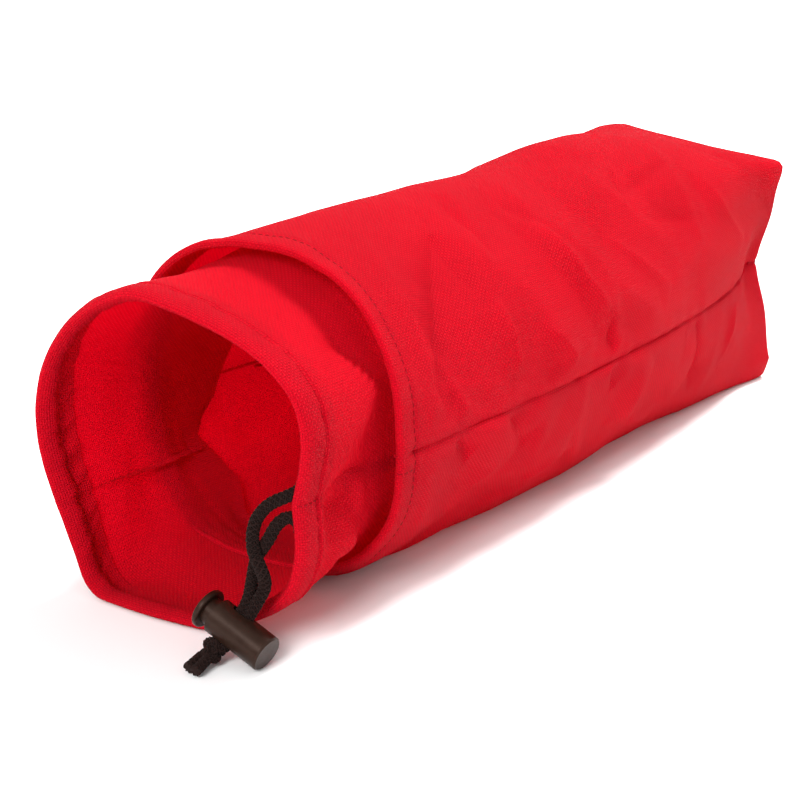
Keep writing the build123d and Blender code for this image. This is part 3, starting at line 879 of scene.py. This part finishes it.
def build_sleeve(upper):
    """One half of the sleeve, with a gap in its hem where the cords come out."""
    rows = sleeve_rows()
    start, stop = (SEAM_RIGHT, SEAM_LEFT) if upper else (SEAM_LEFT, 360.0 + SEAM_RIGHT)
    angle = np.linspace(start, stop, SLEEVE_COLS)[None, :].repeat(len(rows), 0)
    s, inset = rows[:, :1] + 0 * angle, rows[:, 1:] + 0 * angle
    radius = sleeve_radius(s, inset, angle) - inset
    cos, sin = np.cos(np.radians(angle)), np.sin(np.radians(angle))
    z = AXIS_Z + radius * sin
    low = 0.12 + np.minimum(inset, 6.0) * 0.9 * np.clip(-sin, 0, 1)
    z = low + 0.5 * ((z - low) + np.sqrt((z - low) ** 2 + 0.5)) - 0.05
    end = np.interp(np.mod(angle, 360), *np.array(SLEEVE_CUT, float).T)
    deep = np.where(s > CUT_FROM, (s - CUT_FROM) * (end - SLEEVE_END) / (SLEEVE_END - CUT_FROM), 0.0)
    deep -= floor_bell(angle) * (1 - smooth(s, 10, 40))
    grid = np.stack([radius * cos, s + deep, z], axis=-1)
    uv = np.stack([np.radians(angle) * 59 * MM, (arc_length(rows)[:, None] + 0 * angle) * MM], axis=-1)
    slot = np.abs(angle - (SEAM_RIGHT if upper else 360 + SEAM_RIGHT)) < 5.2
    hole = slot & (s > 0.6) & (s < 7.4) & (inset > 3.0)
    return grid, uv, rows, ~(hole[:-1, :-1] & hole[1:, :-1] & hole[:-1, 1:] & hole[1:, 1:])


sleeve_parts = {}
for half in ("upper", "lower"):
    grid, uv, sleeve_places, keep = build_sleeve(half == "upper")
    piece = cloth_solid("sleeve_" + half + "_cloth", grid, uv, keep=keep)
    sleeve_parts[half] = (declare(piece, None, "sleeve_" + half), grid)


def blend_sleeve(piece):
    """Bakes the piece's placement into its mesh."""
    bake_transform(piece)


# ---- seam allowances, pressed flat against the cloth inside -------------------------
STRIP_COLS = 7


def seam_strip(name, points, inward, along, body, node, width=7.0, thick=0.9, seed=3, taper=0.0):
    """The turned-in edges of a seam: a ribbon two cloths thick with a slightly wavy free edge."""
    inward, along = (np.tile(np.array(v, float), (len(points), 1)) for v in (inward, along))
    run = arc_length(points)
    grid = np.zeros((len(points), STRIP_COLS, 3))
    for j in range(STRIP_COLS):
        f = j / (STRIP_COLS - 1)
        lift = 0.35 + f * (0.5 + 0.5 * wobble(run, 11.0, seed)) + f * f * 0.5 * wobble(run, 5.0, seed + 1)
        reach = width * f * (1 + 0.04 * wobble(run, 16.0, seed + 2))
        if taper:
            reach *= 0.12 + 0.88 * smooth(run, 0, taper)
        grid[:, j] = points + inward * (lift + thick)[:, None] + along * reach[:, None]
    uv = np.stack([np.linspace(0, width, STRIP_COLS)[None, :].repeat(len(points), 0) * MM,
                   run[:, None].repeat(STRIP_COLS, 1) * MM], axis=-1)
    if np.cross(points[1] - points[0], along[0]) @ inward[0] < 0:
        grid, uv = grid[:, ::-1], uv[:, ::-1]
    return declare(cloth_solid(name, grid, uv, thickness=thick), body, node)


def make_side_strips():
    """The shell's side seams behind the sleeve, and the seams of the closed end."""
    s = np.arange(118.0, 377.1, 3.0)
    for side, index, sign in (("right", 0, 1), ("left", -1, -1)):
        line = spline(SHELL[:, 0], OVER, s)[:, index]
        inside = line[:, 0] - sign * (2.2 + PINCH_DEPTH * bell(s, *PINCH))
        seam_strip("shell_seam_" + side, np.stack([inside, s, line[:, 1]], axis=-1), (-sign, 0.0, 0.0),
                   (-sign * 0.25, 0.0, -0.968), "shell", "side_seam_" + side, seed=11 + index, taper=90.0)
    seam_strip("end_seam_edges", upper_grid[-3, 12:-12:5] - [0, 5.6, 0], (0, -1.0, 0), (0, -0.3, -0.954),
               "shell", "end_seam", width=5.0, seed=17)
    edge, count = FRONT_ROWS + 3, 26
    over, under = upper_grid[edge, 2:-2], lower_grid[edge, ::-1][2:-2]
    for sign, side in ((1, "right"), (-1, "left")):
        line = np.concatenate([under[::sign][count:0:-1], over[::sign][:count]])[::2]
        seam_strip("corner_edges_" + side, line - [2.0 * sign, 2.0, 0], (0, -1.0, 0), (-sign, 0, 0),
                   "shell", "corner_seam_" + side, width=5.0, seed=19 + sign)


def make_sleeve_strips():
    """The sleeve's side seams, along the sleeve's cloth."""
    start = int(np.argmax(sleeve_places[:, 0] > 16.5))
    for side, column, sign, turn, width in (("right", 0, 1, SEAM_RIGHT, 5.0),
                                            ("left", -1, -1, SEAM_LEFT, 1.8)):
        line = sleeve_parts["upper"][1][start:-6, column]
        cos, sin = math.cos(math.radians(turn)), math.sin(math.radians(turn))
        inward = np.array([-cos, 0.0, -sin])
        along = np.array([sin * sign, 0.0, -cos * sign]) * 0.99 + inward * 0.10
        blend_sleeve(seam_strip("sleeve_seam_" + side + "_edges", line + inward * 0.75, inward, along, None,
                                "sleeve_seam_" + side, width, thick=0.4, seed=23 + sign, taper=30.0))


# ---- stitches -----------------------------------------------------------------------
def nearest_row(places, s, first):
    """The outer row that is nearest to a distance behind the rim."""
    return first + int(np.argmin(np.abs(places[first:] - s)))


def make_stitches():
    """The topstitches round the collar and round the hem."""
    row = nearest_row(shell_s, COLLAR_STITCH, ROLL_ROWS)
    collar = np.concatenate([upper_grid[row, 2:-2], lower_grid[row, 3:-2]])
    row = nearest_row(sleeve_places[:, 0], HEM_STITCH, HEM_ROWS)
    hem = np.concatenate([sleeve_parts["upper"][1][row], sleeve_parts["lower"][1][row, 1:]])
    for name, path, body, node, seed in (("collar_topstitch", collar, "shell", "collar_stitching", 2),
                                         ("hem_topstitch", hem, "sleeve", "hem_stitching", 3)):
        up = unit((path - [0, 0, AXIS_Z]) * [1, 0, 1])
        declare(stitch_line(name, path + up * 0.05, up, seed=seed), body, node)


def make_tacks():
    """Short rows of stitches across the hem and the collar at the side seams."""
    front = (np.arange(len(sleeve_places)) >= HEM_ROWS - 4) & (sleeve_places[:, 0] < 10.0)
    collar = (np.arange(len(shell_s)) >= ROLL_ROWS - 6) & (shell_s < COLLAR_STITCH)
    for name, body, node, grid, rows, columns in (
            ("hem_bar_tacks", "sleeve", "hem_tacks", sleeve_parts["upper"][1], front, (0, -1)),
            ("collar_bar_tacks", "shell", "collar_tacks", lower_grid, collar, (COLS - 3, 6))):
        verts, faces = [], []
        normals = grid_normals(grid)
        for k, column in enumerate(columns):
            up = normals[rows, column]
            piece = stitch_line("temporary", grid[rows, column] + up * 0.10, up, pitch=2.4, seed=5 + k)
            base = len(verts)
            verts += [v.co.copy() for v in piece.data.vertices]
            faces += [tuple(base + i for i in p.vertices) for p in piece.data.polygons]
            bpy.data.objects.remove(piece)
        declare(make_object(name, verts, faces, None, SHADED_RED_THREAD), body, node)


# ---- cords --------------------------------------------------------------------------
STRAND_R = 2.05             # radii over the crowns of the braids
RING_R, KNOT_R, TAIL_R = 1.5, 1.55, 1.78
BRAID_STEP, BRAID_SIDES = 0.22, 56
CARRIERS, LAY, RELIEF = 8, 7.6, 0.55


def route_points(name, points):
    """The points along a NURBS route through the air."""
    curve = bpy.data.curves.new(name, "CURVE")
    curve.dimensions = "3D"
    curve.resolution_u = 24
    line = curve.splines.new("NURBS")
    line.points.add(len(points) - 1)
    for point, place in zip(line.points, to_world(points)):
        point.co = (*place, 1.0)
    line.order_u = 3
    line.use_endpoint_u = True
    holder = bpy.data.objects.new(name, curve)
    bpy.context.scene.collection.objects.link(holder)
    mesh = bpy.data.meshes.new_from_object(holder)
    read = np.array([v.co[:] for v in mesh.vertices])
    bpy.data.objects.remove(holder)
    return read / MM + np.array([0, HALF, 0])


def carried_frames(points):
    """Directions across a path that turn as little as they can along it."""
    ahead = unit(np.gradient(points, axis=0))
    side = np.cross(ahead[0], [0, 0, 1.0])
    if np.linalg.norm(side) < 0.1:
        side = np.cross(ahead[0], [1.0, 0, 0])
    sides = []
    for direction in ahead:
        side = unit(side - direction * (side @ direction))
        sides.append(side)
    return np.array(sides), np.cross(ahead, np.array(sides))


def braid(name, node, points, radius, flare=0.0):
    """A braided cord: two families of yarns wound opposite ways, passing over and under."""
    run = arc_length(points)
    run_even = np.linspace(0, run[-1], max(int(run[-1] / BRAID_STEP), 8))
    line = read_line(run_even, run, points)
    side, up = carried_frames(line)
    u, v = np.meshgrid(2 * math.pi * np.arange(BRAID_SIDES) / BRAID_SIDES, run_even)
    right = CARRIERS / 2 * (u / math.pi - 2 * v / LAY)
    left = CARRIERS / 2 * (u / math.pi + 2 * v / LAY)
    over = np.sin(math.pi * (right + left) / 2) * np.sin(math.pi * (right - left) / 2)
    share = smooth(over, -0.25, 0.25)
    first, second = (np.abs(np.cos(math.pi * family)) ** 0.7 for family in (right, left))
    crown = first * share + second * (1 - share)
    height = radius * (1 - RELIEF / 2) + radius * RELIEF * (crown - 0.35)
    if flare:
        height *= 1 + flare * smooth(v, run_even[-1] - 1.6, run_even[-1])
    grid = (line[:, None] + side[:, None] * (height * np.cos(u))[..., None]
            + up[:, None] * (height * np.sin(u))[..., None])
    rings, count = len(line), grid.size // 3
    faces = tube_quads(0, rings, BRAID_SIDES)
    for centre, base, order in ((count, 0, -1), (count + 1, count - BRAID_SIDES, 1)):
        for j in range(BRAID_SIDES):
            faces.append((*(base + j, base + (j + 1) % BRAID_SIDES)[::order], centre))
    verts = np.concatenate([grid.reshape(-1, 3), line[[0, -1]]])
    uv = np.stack([(u * radius + v * 0.6 * (2 * share - 1)) * MM, v * MM], axis=-1).reshape(-1, 2)
    piece = make_object(name, to_world(verts), faces, np.concatenate([uv, np.zeros((2, 2))]), BLACK_CORD)
    return declare(piece, "sleeve", node)


# the points of each route: x, s, z
STRAND_ROUTES = {
    "upper": [(55.2, 5.4, 62.5), (54.6, 4.4, 57.6), (51.2, 1.6, 55.6), (45.2, -1.6, 52.6),
              (41.6, -4.6, 46.4), (42.4, -6.4, 38.0), (46.6, -7.6, 33.4), (46.4, -4.2, 25.8),
              (43.6, -6.6, 19.6), (41.4, -9.7, 13.4), (37.4, -14.4, 6.6), (35.6, -16.2, 4.8)],
    "lower": [(52.8, 5.4, 42.4), (53.5, 4.5, 46.4), (51.3, 1.4, 49.0), (48.0, -0.9, 46.2),
              (45.6, -2.4, 40.2), (41.4, -3.2, 34.6), (40.8, -4.6, 27.2), (40.8, -7.0, 19.6),
              (37.4, -10.6, 12.6), (34.4, -15.4, 6.4), (33.4, -16.6, 5.0)],
}
TAIL_ROUTES = {
    "front": [(33.9, -17.6, 4.4), (34.6, -20.4, 3.6), (35.2, -24.0, 2.9), (35.9, -28.2, 2.3)],
    "back": [(32.6, -17.4, 4.3), (31.6, -20.2, 3.4), (32.0, -23.8, 2.8), (32.2, -27.4, 2.2)],
}
KNOT_AT = (33.6, -17.2, 4.7)


def knot_path():
    """An overhand knot tied in both strands together, pulled tight."""
    turn = np.linspace(0.35, 2 * math.pi - 0.05, 90)
    flat = np.stack([np.sin(turn) + 2 * np.sin(2 * turn), np.cos(turn) - 2 * np.cos(2 * turn),
                     -1.5 * np.sin(3 * turn)], axis=-1) * 1.05
    along = unit(np.array([0.30, -0.50, -0.81]))
    across = unit(np.cross(along, [0.82, 0.57, 0.0]))
    return (np.array(KNOT_AT) + flat[:, :1] * along * 0.95 + flat[:, 1:2] * across * 0.85
            + flat[:, 2:] * np.cross(along, across))


def make_cords():
    """The strands, the drawcord's ring inside the hem, the knot and the cut ends."""
    strands = []
    for which, route in STRAND_ROUTES.items():
        name = "strand_" + which
        read = route_points(name + "_braid_route", route)
        strands.append((braid(name + "_braid", name, read, STRAND_R), read))
    angle = np.linspace(6.0, 345.0, 90)
    radius = around(RIM, angle) - CORD_R - 0.7 * left_flare(angle)
    turn = np.radians(angle)
    ring = np.stack([radius * np.cos(turn), 4.2 - floor_bell(angle),
                     np.maximum(AXIS_Z + radius * np.sin(turn), 2.35)], axis=-1)
    braid("drawcord_braid", "drawcord", ring, RING_R)
    ends = [braid("knot_braid", "cord_knot", knot_path(), KNOT_R)]
    for which, route in TAIL_ROUTES.items():
        name = "tail_" + which
        ends.append(braid(name + "_braid", name, route_points(name + "_braid_route", route), TAIL_R, 0.05))
    for (piece, read), far in zip(strands, (ends, [])):
        path = [tuple(p) for p in to_world(read)]


# ---- the cord lock's coil, along the barrel from its mouth --------------------------
LOCK_CAP = (51.6, -11.3, 5.728)     # middle of the barrel's closed end
LOCK_TILT = 22.5
BARREL_LENGTH = 22.0
SPRING_FROM, SPRING_TO = 13.7, 19.8
SPRING_R, SPRING_WIRE, SPRING_COILS = 3.6, 0.6, 4
WIRE_SIDES = 10


def make_spring():
    """The cord lock's coil, wound along the barrel behind its mouth."""
    tilt = math.radians(LOCK_TILT)
    axis = np.array([math.cos(tilt), 0.0, -math.sin(tilt)])
    side = np.array([0.0, 1.0, 0.0])
    other = np.cross(axis, side)
    mouth = np.array(LOCK_CAP) - axis * BARREL_LENGTH
    turn = np.linspace(0, 2 * math.pi * SPRING_COILS, 28 * SPRING_COILS + 1)[:, None]
    rise = SPRING_FROM + (SPRING_TO - SPRING_FROM) * turn / turn[-1]
    out = np.cos(turn) * side + np.sin(turn) * other
    tangent = (np.cos(turn) * other - np.sin(turn) * side) * SPRING_R
    tangent = unit(tangent + axis * (SPRING_TO - SPRING_FROM) / (2 * math.pi * SPRING_COILS))
    lift = np.cross(tangent, out)
    middle = mouth + axis * rise + out * SPRING_R
    rings = [middle + SPRING_WIRE / 2 * (out * math.cos(a) + lift * math.sin(a))
             for a in np.arange(WIRE_SIDES) * 2 * math.pi / WIRE_SIDES]
    points = np.stack(rings, axis=1).reshape(-1, 3)
    faces = tube_quads(0, len(turn), WIRE_SIDES) + tube_caps(0, len(turn), WIRE_SIDES)
    piece = make_object("spring_coil", to_world(points), faces, None, SPRING_STEEL)
    declare(piece, None, "lock_spring")
    start, end = (tuple(to_world(mouth + axis * place)) for place in (SPRING_FROM, SPRING_TO))
    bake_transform(piece)


make_spring()
make_side_strips()
make_sleeve_strips()
make_stitches()
make_tacks()
make_cords()
for half in ("upper", "lower"):
    blend_sleeve(sleeve_parts[half][0])


# ---- floor, light and camera --------------------------------------------------------
FLOOR_REACH, FLOOR_Z = 25.0, -0.0002


def make_floor():
    """A wide pale floor."""
    corners = [(x * FLOOR_REACH, y * FLOOR_REACH, FLOOR_Z) for x, y in ((-1, -1), (1, -1), (1, 1), (-1, 1))]
    paper = paper_material("paper_sweep", (0.88, 0.88, 0.88, 1), (0.84, 0.84, 0.84, 1))
    make_object("floor", corners, [(0, 1, 2, 3)], None, paper)


def add_light(name, place, target, size, power):
    """A soft round lamp that points at the target."""
    data = bpy.data.lights.new(name, "AREA")
    data.shape = "DISK"
    data.size, data.energy = size, power
    light = bpy.data.objects.new(name, data)
    bpy.context.scene.collection.objects.link(light)
    light.location = place
    light.rotation_euler = (Vector(target) - Vector(place)).to_track_quat("-Z", "Y").to_euler()


def set_stage():
    """World, floor, lamps, colour and the camera."""
    scene = bpy.context.scene
    scene.world = bpy.data.worlds.new("studio")
    scene.world.use_nodes = True
    background = scene.world.node_tree.nodes["Background"]
    background.inputs[0].default_value = (1, 1, 1, 1)
    background.inputs[1].default_value = 0.75
    make_floor()
    add_light("key", (0.2, 2.2, 4.1), (0, 0.0, 0.05), 1.7, 372.0)
    add_light("front", (0.7, -3.9, 2.6), (0, -0.15, 0.05), 2.1, 215.0)
    scene.view_settings.view_transform = "Standard"
    scene.view_settings.look = "None"
    scene.view_settings.exposure = 0.0
    scene.view_settings.gamma = 1.0
    data = bpy.data.cameras.new("camera")
    data.lens, data.sensor_width = 81.14, 36.0
    data.clip_start = 0.01
    camera = bpy.data.objects.new("camera", data)
    scene.collection.objects.link(camera)
    camera.location = (0.38629, -0.62165, 0.24922)
    camera.rotation_euler = (math.radians(73.28), 0, math.radians(34.61))
    scene.camera = camera


set_stage()

# the lock's barrel and plunger keep their CAD shape
for node in ("lock_barrel", "lock_plunger"):
    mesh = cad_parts[node].data
    mesh.materials.clear()
    mesh.materials.append(LOCK_PLASTIC)
